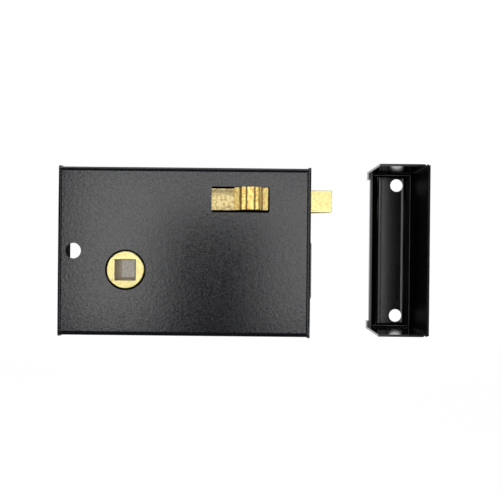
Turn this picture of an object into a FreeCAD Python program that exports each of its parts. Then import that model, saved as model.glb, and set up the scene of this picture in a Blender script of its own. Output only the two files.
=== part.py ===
import FreeCAD, Part
import math
import os
import Sketcher

# Rim latch: a black sheet-steel case with brass works, and its separate box keep.
# Frame: X along the bolt towards the keep, Y into the door, Z up. The origin is the
# point where the spindle's axis meets the door's face, and the viewer stands at -Y.

doc = FreeCAD.newDocument("rim_latch")
sheet = doc.addObject("Spreadsheet::Sheet", "Sizes")

# The driving dimensions, in millimetres, except spring_turns, which is a count.
driving_sizes = [
    # The case, folded from one blank, with the forend reaching past the back.
    ("backset", 83.45), ("spindle_inset", 30.85), ("spindle_rise", 29.7),
    ("case_height", 76.2), ("case_depth", 20.0),
    ("case_wall", 1.2), ("case_bend", 2.0), ("ear_proud", 0.5), ("ear_start", 2.4),
    ("flange_reach", 10.0), ("flange_corner", 2.5),
    ("edge_screw_hole", 5.2), ("edge_screw_spacing", 60.0),
    ("fixing_hole", 7.0), ("fixing_inset", 7.25), ("boss_ring_gap", 0.7),
    # The window over the thumb piece.
    ("window_inset", 18.9), ("window_corner", 0.8),
    ("window_end_gap", 0.65), ("window_head_gap", 0.3), ("window_foot_gap", 1.15),
    # The bolt and the thumb piece on it.
    ("bolt_drop", 14.55), ("bolt_throw", 9.5), ("bolt_height", 10.0),
    ("bolt_thickness", 11.0), ("bolt_set_back", 4.0), ("bolt_tip", 2.6),
    ("bolt_slack", 0.2), ("bolt_stand_out", 0.1),
    ("block_length", 14.0), ("block_inset", 2.25), ("bolt_rounding", 0.6),
    ("tail_set_back", 1.5), ("tail_thickness", 3.0), ("tail_height", 9.9),
    ("tail_rise", 0.3),
    ("head_length", 5.0), ("head_reach", 10.5),
    ("thumb_length", 15.3), ("thumb_height", 10.2), ("thumb_rise", 0.6),
    ("thumb_proud", 0.2), ("dome_length", 10.2), ("dome_proud", 4.3),
    ("facet_width", 0.9), ("facet_drop", 0.63), ("rib_radius", 2.2),
    ("rib_valley", 0.36), ("flank_drop", 1.4), ("flank_run", 0.85),
    # The follower that the spindle turns.
    ("spindle_square", 9.5), ("boss_diameter", 16.9), ("boss_proud", 0.4),
    ("boss_bevel", 0.3), ("hub_diameter", 22.0), ("hub_flange", 3.0),
    ("hub_back_flange", 1.5), ("barrel_diameter", 19.0), ("end_play", 0.2),
    ("running_gap", 0.08), ("arm_under_tail", 2.65), ("arm_tip", 3.0),
    ("arm_set_back", 5.5), ("arm_thickness", 6.0), ("arm_root", 13.0),
    ("arm_root_sink", 2.75), ("arm_shoulder", 1.5), ("arm_gap", 0.1),
    # The posts inside the case and what they carry.
    ("post_diameter", 6.0), ("upper_post_along", 30.0), ("upper_post_drop", 5.2),
    ("lower_post_rise", 8.2), ("left_post_inset", 19.35), ("right_post_inset", 13.45),
    ("guide_post_along", 22.0), ("guide_post_diameter", 5.0),
    ("guide_washer_diameter", 10.0), ("guide_washer", 1.0), ("guide_head", 0.8),
    ("guide_head_proud", 0.8), ("slot_gap", 0.15),
    ("stop_post_diameter", 5.0), ("stop_post_length", 13.0),
    # The cap over the works and its screws.
    ("cap_sheet", 1.2), ("cap_gap", 0.15), ("cap_start", 13.85), ("cap_corner", 2.0),
    ("screw_diameter", 3.0), ("screw_head", 5.6), ("screw_length", 8.0),
    ("screw_slot", 0.8), ("screw_slot_depth", 0.6),
    # The bolt's spring and the spigot that carries it.
    ("wire", 0.9), ("spring_diameter", 7.0), ("spring_turns", 6.0),
    ("spring_set_back", 5.8), ("spring_touch", 0.05),
    ("spigot_diameter", 4.4), ("spigot_length", 4.4), ("spigot_flange", 1.6),
    ("spigot_flange_diameter", 8.4), ("tail_spigot", 4.0),
    # The guide that bridges the bolt behind the forend.
    ("guide_strip", 1.2), ("guide_width", 8.0), ("guide_foot", 6.0),
    ("guide_inset", 5.5), ("guide_bend", 1.2),
    # The plate over the unused opening in the forend, and its rivets.
    ("forend_plate_sheet", 0.5), ("forend_plate_height", 25.4),
    ("forend_plate_width", 12.0), ("forend_plate_rise", 17.4),
    ("forend_plate_bevel", 1.6), ("forend_opening_height", 15.0),
    ("forend_opening_width", 8.0), ("forend_rivet", 2.4), ("forend_rivet_head", 3.8),
    ("forend_rivet_proud", 0.5), ("forend_rivet_inset", 2.6),
    # The rivets that hold the thumb piece.
    ("thumb_rivet", 2.6), ("thumb_rivet_head", 4.6), ("thumb_rivet_proud", 0.8),
    ("thumb_rivet_depth", 1.2), ("thumb_rivet_spacing", 9.0),
    # The keep, a folded box that stands beside the case.
    ("keep_along", 112.9), ("keep_width", 22.3), ("keep_height", 76.2),
    ("keep_depth", 36.0), ("keep_back", 9.0), ("keep_sheet", 1.0), ("keep_rise", 1.6),
    ("keep_bend", 1.6), ("keep_seam", 1.2), ("keep_seam_foot", 2.4), ("keep_side_drop", 0.4),
    ("keep_lip", 4.0), ("keep_tab", 4.0), ("keep_tab_reach", 4.6),
    ("panel_left", 2.4), ("panel_right", 3.5), ("panel_end", 1.6),
    ("panel_raise", 2.2), ("panel_ramp", 2.9), ("panel_slope", 0.8), ("panel_bevel", 0.6),
    ("panel_corner", 1.8), ("panel_shift", 0.75),
    ("keep_hole", 6.1), ("keep_hole_spacing", 63.0), ("keep_hole_along", 13.8),
]


class Size:
    """A length that knows its number and the expression it comes from."""

    def __init__(self, number, text):
        self.number = float(number)
        self.text = text

    def __add__(self, other):
        other = as_size(other)
        return Size(self.number + other.number, f"({self.text} + {other.text})")

    def __radd__(self, other):
        return as_size(other) + self

    def __sub__(self, other):
        other = as_size(other)
        return Size(self.number - other.number, f"({self.text} - {other.text})")

    def __rsub__(self, other):
        return as_size(other) - self

    def __mul__(self, other):
        other = as_size(other)
        return Size(self.number * other.number, f"({self.text} * {other.text})")

    __rmul__ = __mul__

    def __truediv__(self, other):
        other = as_size(other)
        return Size(self.number / other.number, f"({self.text} / {other.text})")

    def __neg__(self):
        return Size(-self.number, f"(0 - {self.text})")


def as_size(value):
    if isinstance(value, Size):
        return value
    return Size(value, str(value))


def fill_sheet():
    """Writes the driving dimensions and returns them by name."""
    named = {}
    for row, (alias, number) in enumerate(driving_sizes, start=1):
        sheet.set(f"A{row}", alias)
        sheet.set(f"B{row}", str(number))
        sheet.setAlias(f"B{row}", alias)
        named[alias] = Size(number, f"Sizes.{alias}")
    doc.recompute()
    return named


size = fill_sheet()
zero = Size(0, "0")

# A cut right through a sheet goes this many times its thickness, so none is left.
through = 2
# The flat crown of a closed-over end is this share of its width.
closed_crown = 0.6
# The spring's path is made in quarter turns, its wire has flat sides, and its gap
# to itself is measured on gap_steps steps.
quarters_in_turn = 4
wire_sides = 6
gap_steps = 400


def near(first, second):
    return abs(first - second) < 1e-4


# Sketches and features.

def new_body(name):
    body = doc.addObject("PartDesign::Body", name)
    body.Label = name
    return body


def place(item, along=zero, back=zero, rise=zero):
    """Binds the place of a sub-part: along X, back along Y and up Z."""
    item.setExpression(".Placement.Base.x", as_size(along).text)
    item.setExpression(".Placement.Base.y", as_size(back).text)
    item.setExpression(".Placement.Base.z", as_size(rise).text)
    return item


def new_sketch(body, name, role, offset=zero):
    """Starts a sketch on one of the body's own planes, moved along its normal."""
    sketch = body.newObject("Sketcher::SketchObject", name)
    plane = [item for item in body.Origin.OriginFeatures if item.Role == role][0]
    sketch.AttachmentSupport = (plane, "")
    sketch.MapMode = "FlatFace"
    sketch.setExpression(".AttachmentOffset.Base.z", as_size(offset).text)
    return sketch


def pin_point(sketch, geometry, end, across=None, up=None):
    """Ties a point of the sketch to one or both sizes from the sketch's origin."""
    for kind, value, axis in (("DistanceX", across, -2), ("DistanceY", up, -1)):
        if value is None:
            continue
        value = as_size(value)
        if value.number == 0:
            sketch.addConstraint(Sketcher.Constraint("PointOnObject", geometry, end, axis))
        else:
            rule = Sketcher.Constraint(kind, -1, 1, geometry, end, value.number)
            index = sketch.addConstraint(rule)
            sketch.setExpression(f"Constraints[{index}]", value.text)


def arc_between(first, last, radius):
    """The arc from first to last, bulging left of the way for a positive radius.

    Returns the arc, always drawn anticlockwise, and whether it runs first to last.
    """
    middle = (first + last) * 0.5
    half = (last - first).Length / 2
    way = (last - first) * (0.5 / half)
    left = FreeCAD.Vector(-way.y, way.x, 0)
    reach = math.sqrt(max(radius * radius - half * half, 0))
    side = 1 if radius > 0 else -1
    centre = middle - left * (side * reach)
    start, end = (last, first) if side > 0 else (first, last)
    angle_start = math.atan2(start.y - centre.y, start.x - centre.x)
    angle_end = math.atan2(end.y - centre.y, end.x - centre.x)
    while angle_end < angle_start:
        angle_end += 2 * math.pi
    circle = Part.Circle(centre, FreeCAD.Vector(0, 0, 1), abs(radius))
    return Part.ArcOfCircle(circle, angle_start, angle_end), side < 0


def outline(sketch, points, arcs=None):
    """Draws a closed outline through points, with arcs on the numbered sides."""
    arcs = arcs or {}
    corners = [(as_size(across), as_size(up)) for across, up in points]
    places = [FreeCAD.Vector(across.number, up.number, 0) for across, up in corners]
    starts, ends = [], []
    for index, here in enumerate(places):
        there = places[(index + 1) % len(places)]
        if index in arcs:
            curve, forward = arc_between(here, there, arcs[index].number)
            number = sketch.addGeometry(curve)
            starts.append((number, 1 if forward else 2))
            ends.append((number, 2 if forward else 1))
        else:
            number = sketch.addGeometry(Part.LineSegment(here, there))
            starts.append((number, 1))
            ends.append((number, 2))
    for index, (across, up) in enumerate(corners):
        geometry, end = starts[index]
        other_geometry, other_end = ends[index - 1]
        sketch.addConstraint(Sketcher.Constraint("Coincident", geometry, end, other_geometry, other_end))
        pin_point(sketch, geometry, end, across, up)
    for index, radius in arcs.items():
        bend = radius if radius.number > 0 else -radius
        chord = places[(index + 1) % len(places)] - places[index]
        across, up = corners[index]
        if near(chord.Length, 2 * bend.number):
            # A half circle has its centre on its chord, which runs along an axis.
            upright = near(chord.x, 0)
            pin_point(sketch, starts[index][0], 3, across if upright else None, None if upright else up)
        else:
            rule = sketch.addConstraint(Sketcher.Constraint("Radius", starts[index][0], bend.number))
            sketch.setExpression(f"Constraints[{rule}]", bend.text)
    return sketch


def rectangle(sketch, left, right, low, high):
    return outline(sketch, [(left, low), (right, low), (right, high), (left, high)])


def circle(sketch, diameter, across=zero, up=zero):
    across, up, diameter = as_size(across), as_size(up), as_size(diameter)
    centre = FreeCAD.Vector(across.number, up.number, 0)
    number = sketch.addGeometry(Part.Circle(centre, FreeCAD.Vector(0, 0, 1), diameter.number / 2))
    pin_point(sketch, number, 3, across, up)
    rule = sketch.addConstraint(Sketcher.Constraint("Diameter", number, diameter.number))
    sketch.setExpression(f"Constraints[{rule}]", diameter.text)
    return sketch


def volume_of(body):
    doc.recompute()
    return body.Shape.Volume if not body.Shape.isNull() else 0.0


def pad(body, sketch, length, backwards=False):
    before = volume_of(body)
    feature = body.newObject("PartDesign::Pad", f"{sketch.Name}_pad")
    feature.Profile = sketch
    feature.Reversed = backwards
    feature.setExpression("Length", as_size(length).text)
    if volume_of(body) <= before:
        raise RuntimeError(f"{feature.Name} adds nothing")
    return feature


def pocket(body, sketch, length, backwards=False):
    before = volume_of(body)
    feature = body.newObject("PartDesign::Pocket", f"{sketch.Name}_pocket")
    feature.Profile = sketch
    feature.Reversed = backwards
    feature.setExpression("Length", as_size(length).text)
    if volume_of(body) >= before:
        raise RuntimeError(f"{feature.Name} cuts nothing")
    return feature


def revolve(body, sketch):
    """Turns a profile once round the sketch's own upright axis."""
    feature = body.newObject("PartDesign::Revolution", f"{sketch.Name}_turned")
    feature.Profile = sketch
    feature.ReferenceAxis = (sketch, ["V_Axis"])
    feature.Angle = 360
    doc.recompute()
    return feature


def edges_where(body, test):
    """Names of the edges whose middle point and ends pass the test."""
    doc.recompute()
    names = []
    for number, edge in enumerate(body.Shape.Edges, start=1):
        if test(edge):
            names.append(f"Edge{number}")
    return names


def dress(body, kind, name, edges, value):
    """Adds a fillet or a chamfer to the named edges of the body's last feature."""
    base = body.Tip
    feature = body.newObject(f"PartDesign::{kind}", name)
    feature.Base = (base, edges)
    feature.setExpression("Radius" if kind == "Fillet" else "Size", as_size(value).text)
    doc.recompute()
    if "Invalid" in feature.State:
        raise RuntimeError(f"{name} failed on {len(edges)} edges")
    return feature


def lies_along(edge, axis):
    """Whether a straight edge runs along the axis."""
    if edge.Curve.TypeId != "Part::GeomLine":
        return False
    way = (edge.Vertexes[-1].Point - edge.Vertexes[0].Point).normalize()
    return abs(abs(way.dot(axis)) - 1) < 1e-6


along_axis = FreeCAD.Vector(1, 0, 0)
depth_axis = FreeCAD.Vector(0, 1, 0)
rise_axis = FreeCAD.Vector(0, 0, 1)

# Levels and places that several pieces share. Depths are counted from the back
# plane towards the viewer, so a depth of case_depth is the case's face.
case_left = -size["spindle_inset"]
case_low = -size["spindle_rise"]
case_high = size["case_height"] - size["spindle_rise"]
case_middle = (case_low + case_high) / 2
inner_left = case_left + size["case_wall"]
inner_right = size["backset"] - size["case_wall"]
inner_low = case_low + size["case_wall"]
inner_high = case_high - size["case_wall"]
inner_depth = size["case_depth"] - size["case_wall"]
inner_bend = size["case_bend"] - size["case_wall"]
bolt_line = case_high - size["bolt_drop"]
tail_front = size["case_depth"] - size["tail_set_back"]
tail_back = tail_front - size["tail_thickness"]
nose_front = size["case_depth"] - size["bolt_set_back"]
nose_back = nose_front - size["bolt_thickness"]
thumb_middle = bolt_line + size["thumb_rise"]
window_right = size["backset"] - size["window_inset"]
window_left = (window_right - size["thumb_length"] - size["bolt_throw"]
               - size["window_end_gap"] * 2)
window_low = thumb_middle - size["thumb_height"] / 2 - size["window_foot_gap"]
window_high = thumb_middle + size["thumb_height"] / 2 + size["window_head_gap"]
thumb_right = window_right - size["window_end_gap"]
thumb_left = thumb_right - size["thumb_length"]
arm_depth_front = size["case_depth"] - size["arm_set_back"]
arm_depth_back = arm_depth_front - size["arm_thickness"]
head_right = -(size["arm_tip"] + size["arm_gap"])
head_left = head_right - size["head_length"]
head_back = tail_front - size["head_reach"]
spring_depth = size["case_depth"] - size["spring_set_back"]
cap_level = size["cap_sheet"]
tail_middle = bolt_line + size["tail_rise"]
tail_low = tail_middle - size["tail_height"] / 2
tail_high = tail_middle + size["tail_height"] / 2
hub_radius = size["hub_diameter"] / 2
arm_reach = tail_low - size["arm_under_tail"] - size["arm_tip"]
# The lug hangs halfway from the arm's tip to the hub, and the arm's stop stands
# halfway between the hub and the tail.
lug_low = (hub_radius + arm_reach) / 2
stop_post_rise = (hub_radius + tail_low) / 2
lower_posts = case_low + size["lower_post_rise"]
post_places = {
    "upper_post": (size["upper_post_along"], case_high - size["upper_post_drop"]),
    "lower_left_post": (case_left + size["left_post_inset"], lower_posts),
    "lower_right_post": (size["backset"] - size["right_post_inset"], lower_posts),
}
forend_plate_low = case_low + size["forend_plate_rise"]
forend_plate_middle = forend_plate_low + size["forend_plate_height"] / 2
forend_plate_depth = (nose_front + nose_back) / 2


def make_case():
    """The folded tray: front, four walls with open corner seams, and the forend."""
    body = new_body("case")
    blank = new_sketch(body, "case_outer", "XZ_Plane")
    rectangle(blank, case_left, size["backset"], case_low, case_high)
    pad(body, blank, size["case_depth"])
    face_level = -size["case_depth"].number
    face_edges = edges_where(body, lambda edge: near(edge.CenterOfMass.y, face_level))
    dress(body, "Fillet", "case_outer_bends", face_edges, size["case_bend"])
    hollow = new_sketch(body, "case_hollow", "XZ_Plane")
    rectangle(hollow, inner_left, inner_right, inner_low, inner_high)
    pocket(body, hollow, inner_depth, backwards=True)
    floor_level = -inner_depth.number
    floor_edges = edges_where(body, lambda edge: near(edge.CenterOfMass.y, floor_level))
    dress(body, "Fillet", "case_inner_bends", floor_edges, inner_bend)
    # The ends of the side walls stand a little past the top and bottom walls.
    ears = new_sketch(body, "case_ears", "XZ_Plane")
    for left in (case_left, inner_right):
        right = left + size["case_wall"]
        rectangle(ears, left, right, case_high - size["ear_proud"], case_high + size["ear_proud"])
        rectangle(ears, left, right, case_low - size["ear_proud"], case_low + size["ear_proud"])
    pad(body, ears, size["case_depth"] - size["ear_start"])
    # The forend runs on past the back plane, over the edge of the door.
    flange = new_sketch(body, "case_flange", "YZ_Plane", size["backset"])
    rectangle(flange, zero, size["flange_reach"], case_low, case_high)
    pad(body, flange, size["case_wall"], backwards=True)
    reach = size["flange_reach"].number
    corners = edges_where(body, lambda edge: near(edge.CenterOfMass.y, reach)
                          and lies_along(edge, along_axis))
    dress(body, "Fillet", "case_flange_corners", corners, size["flange_corner"])
    edge_holes = new_sketch(body, "case_edge_holes", "YZ_Plane", size["backset"])
    for side in (-1, 1):
        rise = case_middle + size["edge_screw_spacing"] * (side / 2)
        circle(edge_holes, size["edge_screw_hole"], size["flange_reach"] / 2, rise)
    pocket(body, edge_holes, size["case_wall"] * through)
    # Openings in the front.
    face = new_sketch(body, "case_face_holes", "XZ_Plane", size["case_depth"])
    circle(face, size["fixing_hole"], case_left + size["fixing_inset"], case_middle)
    circle(face, size["boss_diameter"] + size["boss_ring_gap"] * 2)
    rectangle(face, window_left, window_right, window_low, window_high)
    pocket(body, face, size["case_wall"] * through)
    ends = (window_left.number, window_right.number)
    sides = edges_where(body, lambda edge: lies_along(edge, depth_axis)
                        and any(near(edge.CenterOfMass.x, end) for end in ends)
                        and edge.CenterOfMass.z > 0)
    dress(body, "Fillet", "case_window_corners", sides, size["window_corner"])
    # Openings in the forend: the bolt's, and the one that the plate covers.
    forend = new_sketch(body, "case_forend_holes", "YZ_Plane", size["backset"])
    rectangle(forend, -(nose_front + size["bolt_slack"]), -(nose_back - size["bolt_slack"]),
              bolt_line - size["bolt_height"] / 2 - size["bolt_slack"],
              bolt_line + size["bolt_height"] / 2 + size["bolt_slack"])
    half_width = size["forend_opening_width"] / 2
    half_height = size["forend_opening_height"] / 2
    rectangle(forend, -(forend_plate_depth + half_width), -(forend_plate_depth - half_width),
              forend_plate_middle - half_height, forend_plate_middle + half_height)
    for rise in forend_rivet_rises():
        circle(forend, size["forend_rivet"], -forend_plate_depth, rise)
    pocket(body, forend, size["case_wall"] * through)
    return body


def forend_rivet_rises():
    reach = size["forend_plate_height"] / 2 - size["forend_rivet_inset"]
    return [forend_plate_middle - reach, forend_plate_middle + reach]


def make_forend_plate():
    """The thin plate over the unused opening, with its four corners taken off."""
    body = new_body("forend_plate")
    shape = new_sketch(body, "forend_plate_outline", "YZ_Plane", size["backset"])
    half = size["forend_plate_width"] / 2
    bevel = size["forend_plate_bevel"]
    left, right = -(forend_plate_depth + half), -(forend_plate_depth - half)
    low, high = forend_plate_low, forend_plate_low + size["forend_plate_height"]
    outline(shape, [(left + bevel, low), (right - bevel, low), (right, low + bevel),
                    (right, high - bevel), (right - bevel, high), (left + bevel, high),
                    (left, high - bevel), (left, low + bevel)])
    pad(body, shape, size["forend_plate_sheet"])
    holes = new_sketch(body, "forend_plate_holes", "YZ_Plane", size["backset"])
    for rise in forend_rivet_rises():
        circle(holes, size["forend_rivet"], -forend_plate_depth, rise)
    pocket(body, holes, size["forend_plate_sheet"] * through, backwards=True)
    return body


def make_rivet(name, diameter, head, proud, length):
    """A rivet turned about the Z axis: the shank below z = 0 and the button head above."""
    body = new_body(name)
    profile = new_sketch(body, f"{name}_profile", "XZ_Plane")
    rim = head / 2
    outline(profile, [(zero, -length), (diameter / 2, -length), (diameter / 2, zero),
                      (rim, zero), (rim * closed_crown, proud), (zero, proud)])
    revolve(body, profile)
    return body


def turned_to(body, axis, angle):
    body.Placement = FreeCAD.Placement(FreeCAD.Vector(), FreeCAD.Rotation(axis, angle))
    return body


def make_forend_rivets():
    """Two rivets through the plate and the forend wall, closed on the inside."""
    rivets = []
    length = size["forend_plate_sheet"] + size["case_wall"]
    for number, rise in enumerate(forend_rivet_rises(), start=1):
        rivet = make_rivet(f"forend_rivet_{number}", size["forend_rivet"],
                           size["forend_rivet_head"], size["forend_rivet_proud"], length)
        turned_to(rivet, depth_axis, 90)
        place(rivet, size["backset"] + size["forend_plate_sheet"], -forend_plate_depth, rise)
        rivets.append(rivet)
    return group("forend_rivets", rivets)


def group(name, members):
    """One node of several like solids."""
    node = doc.addObject("Part::Compound", name)
    node.Label = name
    node.Links = members
    return node


def make_bolt():
    """The cast bolt: nose with its bevel, block, thin tail and the head with its lug."""
    body = new_body("bolt")
    nose_tip = size["backset"] + size["bolt_throw"] + size["bolt_stand_out"]
    block_right = inner_right - size["block_inset"]
    block_left = block_right - size["block_length"]
    # The plan of the casting, seen from above: the sketch's own y is the frame's Y.
    plan = new_sketch(body, "bolt_plan", "XY_Plane", bolt_line - size["bolt_height"] / 2)
    bevel_start = size["backset"] + size["bolt_stand_out"]
    outline(plan, [(block_left, -tail_front), (block_right, -tail_front),
                   (block_right, -nose_front), (nose_tip, -nose_front),
                   (nose_tip, -nose_front + size["bolt_tip"]), (bevel_start, -nose_back),
                   (block_left, -nose_back)])
    pad(body, plan, size["bolt_height"])
    tail = new_sketch(body, "bolt_tail", "XZ_Plane", tail_back)
    rectangle(tail, head_left, block_left + size["block_length"] / 2, tail_low, tail_high)
    pad(body, tail, size["tail_thickness"])
    head = new_sketch(body, "bolt_head", "XZ_Plane", head_back)
    rectangle(head, head_left, head_right, lug_low, tail_high)
    pad(body, head, size["head_reach"])
    # Round the cast corners along the nose's tip.
    tips = edges_where(body, lambda edge: near(edge.CenterOfMass.x, nose_tip.number)
                       and lies_along(edge, depth_axis))
    dress(body, "Fillet", "bolt_nose_rounding", tips, size["bolt_rounding"])
    slot = new_sketch(body, "bolt_slot", "XZ_Plane", tail_front)
    neck = size["guide_post_diameter"] / 2 + size["slot_gap"]
    left = size["guide_post_along"]
    right = left + size["bolt_throw"]
    outline(slot, [(left, bolt_line - neck), (right, bolt_line - neck),
                   (right, bolt_line + neck), (left, bolt_line + neck)],
            {1: -neck, 3: -neck})
    pocket(body, slot, size["tail_thickness"] * through)
    rivets = new_sketch(body, "bolt_rivet_holes", "XZ_Plane", tail_front)
    for along in thumb_rivet_places():
        circle(rivets, size["thumb_rivet"], along, bolt_line)
    pocket(body, rivets, size["tail_thickness"] * through)
    spigot = new_sketch(body, "bolt_spigot", "YZ_Plane", head_left)
    circle(spigot, size["spigot_diameter"], -spring_depth, bolt_line)
    pad(body, spigot, size["tail_spigot"], backwards=True)
    return body


def thumb_rivet_places():
    middle = (thumb_left + thumb_right) / 2
    half = size["thumb_rivet_spacing"] / 2
    return [middle - half, middle + half]


def make_thumb_slide():
    """The thumb piece: a base with sloped ends under a dome of three broad ribs."""
    body = new_body("thumb_slide")
    low = thumb_middle - size["thumb_height"] / 2
    plan = new_sketch(body, "thumb_plan", "XY_Plane", low)
    middle = (thumb_left + thumb_right) / 2
    seat = -tail_front
    shoulder = -(size["case_depth"] + size["thumb_proud"])
    dome_left = middle - size["dome_length"] / 2
    dome_right = middle + size["dome_length"] / 2
    rib = size["dome_length"] / 3
    crest = -(size["case_depth"] + size["dome_proud"])
    valley = crest + size["rib_valley"]
    flank = crest + size["flank_drop"]
    facet = shoulder + size["facet_drop"]
    foot = shoulder - size["thumb_proud"]
    outline(plan, [(thumb_right, seat), (thumb_left, seat), (thumb_left, facet),
                   (thumb_left + size["facet_width"], shoulder), (dome_left, foot),
                   (dome_left + size["flank_run"], flank), (dome_left + rib, valley),
                   (dome_right - rib, valley), (dome_right - size["flank_run"], flank),
                   (dome_right, foot), (thumb_right - size["facet_width"], shoulder),
                   (thumb_right, facet)],
            {5: -size["rib_radius"], 6: -size["rib_radius"], 7: -size["rib_radius"]})
    pad(body, plan, size["thumb_height"])
    holes = new_sketch(body, "thumb_rivet_holes", "XZ_Plane", tail_front)
    for along in thumb_rivet_places():
        circle(holes, size["thumb_rivet"], along, bolt_line)
    pocket(body, holes, size["thumb_rivet_depth"], backwards=True)
    return body


def make_thumb_rivets():
    """Two rivets from behind the tail into the thumb piece."""
    rivets = []
    length = size["tail_thickness"] + size["thumb_rivet_depth"]
    for number, along in enumerate(thumb_rivet_places(), start=1):
        rivet = make_rivet(f"thumb_rivet_{number}", size["thumb_rivet"],
                           size["thumb_rivet_head"], size["thumb_rivet_proud"], length)
        turned_to(rivet, along_axis, -90)
        place(rivet, along, -tail_back, bolt_line)
        rivets.append(rivet)
    return group("thumb_rivets", rivets)


def make_follower():
    """The follower: bosses in the case and the cap, a hub, and the arm that draws the bolt."""
    body = new_body("follower")
    boss = size["boss_diameter"] / 2
    barrel = size["barrel_diameter"] / 2
    bevel = size["boss_bevel"]
    front = -(size["case_depth"] + size["boss_proud"])
    hub_front = -(inner_depth - size["end_play"])
    hub_back = -(cap_level + size["end_play"])
    back = -size["end_play"]
    waist_front = hub_front + size["hub_flange"]
    waist_back = hub_back - size["hub_back_flange"]
    profile = new_sketch(body, "follower_profile", "XY_Plane")
    outline(profile, [(zero, front), (boss - bevel, front), (boss, front + bevel),
                      (boss, hub_front), (hub_radius, hub_front), (hub_radius, waist_front),
                      (barrel, waist_front), (barrel, waist_back), (hub_radius, waist_back),
                      (hub_radius, hub_back), (boss, hub_back), (boss, back), (zero, back)])
    revolve(body, profile)
    arm = new_sketch(body, "follower_arm", "XZ_Plane", arm_depth_back)
    tip = size["arm_tip"]
    root = size["arm_root"] / 2
    root_rise = hub_radius - size["arm_root_sink"]
    shoulder = hub_radius + size["arm_shoulder"]
    outline(arm, [(root, zero), (root, root_rise), (tip, shoulder), (tip, arm_reach),
                  (-tip, arm_reach), (-tip, shoulder), (-root, root_rise), (-root, zero)],
            {3: -tip})
    pad(body, arm, size["arm_thickness"])
    socket = new_sketch(body, "follower_socket", "XZ_Plane", -front)
    half = size["spindle_square"] / 2
    rectangle(socket, -half, half, -half, half)
    pocket(body, socket, -front)
    return body


def make_cap():
    """The cap over the works, which leaves the fixing screw's end of the case open."""
    body = new_body("back_cap")
    plate = new_sketch(body, "cap_outline", "XZ_Plane")
    gap = size["cap_gap"]
    rectangle(plate, case_left + size["cap_start"], inner_right - gap, inner_low + gap, inner_high - gap)
    pad(body, plate, size["cap_sheet"])
    left = (case_left + size["cap_start"]).number
    corners = edges_where(body, lambda edge: near(edge.CenterOfMass.x, left)
                          and lies_along(edge, depth_axis))
    dress(body, "Fillet", "cap_corners", corners, size["cap_corner"])
    holes = new_sketch(body, "cap_holes", "XZ_Plane", size["cap_sheet"])
    circle(holes, size["boss_diameter"] + size["running_gap"] * 2)
    pocket(body, holes, size["cap_sheet"] * through)
    # Each screw's hole is a cone, as wide as the screw's head at the back plane.
    for name, (along, rise) in post_places.items():
        cone = body.newObject("PartDesign::SubtractiveCone", f"cap_{name}_sink")
        cone.setExpression("Radius1", (size["screw_head"] / 2).text)
        cone.setExpression("Radius2", (size["screw_head"] / 2 - size["cap_sheet"]).text)
        cone.setExpression("Height", size["cap_sheet"].text)
        cone.Placement = FreeCAD.Placement(FreeCAD.Vector(), FreeCAD.Rotation(along_axis, 90))
        cone.setExpression(".Placement.Base.x", along.text)
        cone.setExpression(".Placement.Base.z", rise.text)
        doc.recompute()
    return body


def make_post(name, along, rise):
    """A round post welded inside the front, drilled at its back end for a cap screw."""
    body = new_body(name)
    profile = new_sketch(body, f"{name}_profile", "XY_Plane")
    bore = size["screw_diameter"] / 2
    sink = size["screw_head"] / 2 - size["cap_sheet"]
    back = -cap_level
    depth = size["screw_length"] + size["end_play"]
    outline(profile, [(zero, -inner_depth), (size["post_diameter"] / 2, -inner_depth),
                      (size["post_diameter"] / 2, back), (sink, back),
                      (bore, back - (sink - bore)), (bore, -depth), (zero, -depth)])
    revolve(body, profile)
    return place(body, along, zero, rise)


def make_cap_screws():
    """Countersunk slotted screws, flush with the cap."""
    screws = []
    head = size["screw_head"] / 2
    shank = size["screw_diameter"] / 2
    for number, (along, rise) in enumerate(post_places.values(), start=1):
        body = new_body(f"cap_screw_{number}")
        profile = new_sketch(body, f"cap_screw_{number}_profile", "XY_Plane")
        outline(profile, [(zero, -size["screw_length"]), (shank, -size["screw_length"]),
                          (shank, -(head - shank)), (head, zero), (zero, zero)])
        revolve(body, profile)
        slot = new_sketch(body, f"cap_screw_{number}_slot", "XZ_Plane")
        half = size["screw_slot"] / 2
        rectangle(slot, -head, head, -half, half)
        pocket(body, slot, size["screw_slot_depth"], backwards=True)
        place(body, along, zero, rise)
        screws.append(body)
    return group("cap_screws", screws)


def make_guide_post():
    """The post through the slot in the tail, with its end closed over the washer."""
    body = new_body("guide_post")
    profile = new_sketch(body, "guide_post_profile", "XY_Plane")
    neck = size["guide_post_diameter"] / 2
    head = neck + size["guide_head_proud"]
    washer_back = guide_washer_front() - size["guide_washer"]
    end = washer_back - size["guide_head"]
    outline(profile, [(zero, -inner_depth), (neck, -inner_depth), (neck, -washer_back),
                      (head, -washer_back), (neck, -end), (zero, -end)])
    revolve(body, profile)
    return place(body, size["guide_post_along"], zero, bolt_line)


def guide_washer_front():
    return tail_back - size["bolt_slack"]


def make_guide_washer():
    """The washer that keeps the tail down on the inside of the front."""
    body = new_body("guide_washer")
    disc = new_sketch(body, "guide_washer_disc", "XZ_Plane", guide_washer_front() - size["guide_washer"])
    circle(disc, size["guide_washer_diameter"])
    circle(disc, size["guide_post_diameter"] + size["running_gap"])
    pad(body, disc, size["guide_washer"])
    return place(body, size["guide_post_along"], zero, bolt_line)


def make_stop_post():
    """The post that the follower's arm rests on."""
    body = new_body("arm_stop")
    profile = new_sketch(body, "arm_stop_profile", "XY_Plane")
    radius = size["stop_post_diameter"] / 2
    end = -(inner_depth - size["stop_post_length"])
    bevel = size["boss_bevel"]
    outline(profile, [(zero, -inner_depth), (radius, -inner_depth), (radius, end - bevel),
                      (radius - bevel, end), (zero, end)])
    revolve(body, profile)
    along = size["arm_tip"] + size["arm_gap"] + radius
    return place(body, along, zero, stop_post_rise)


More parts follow.
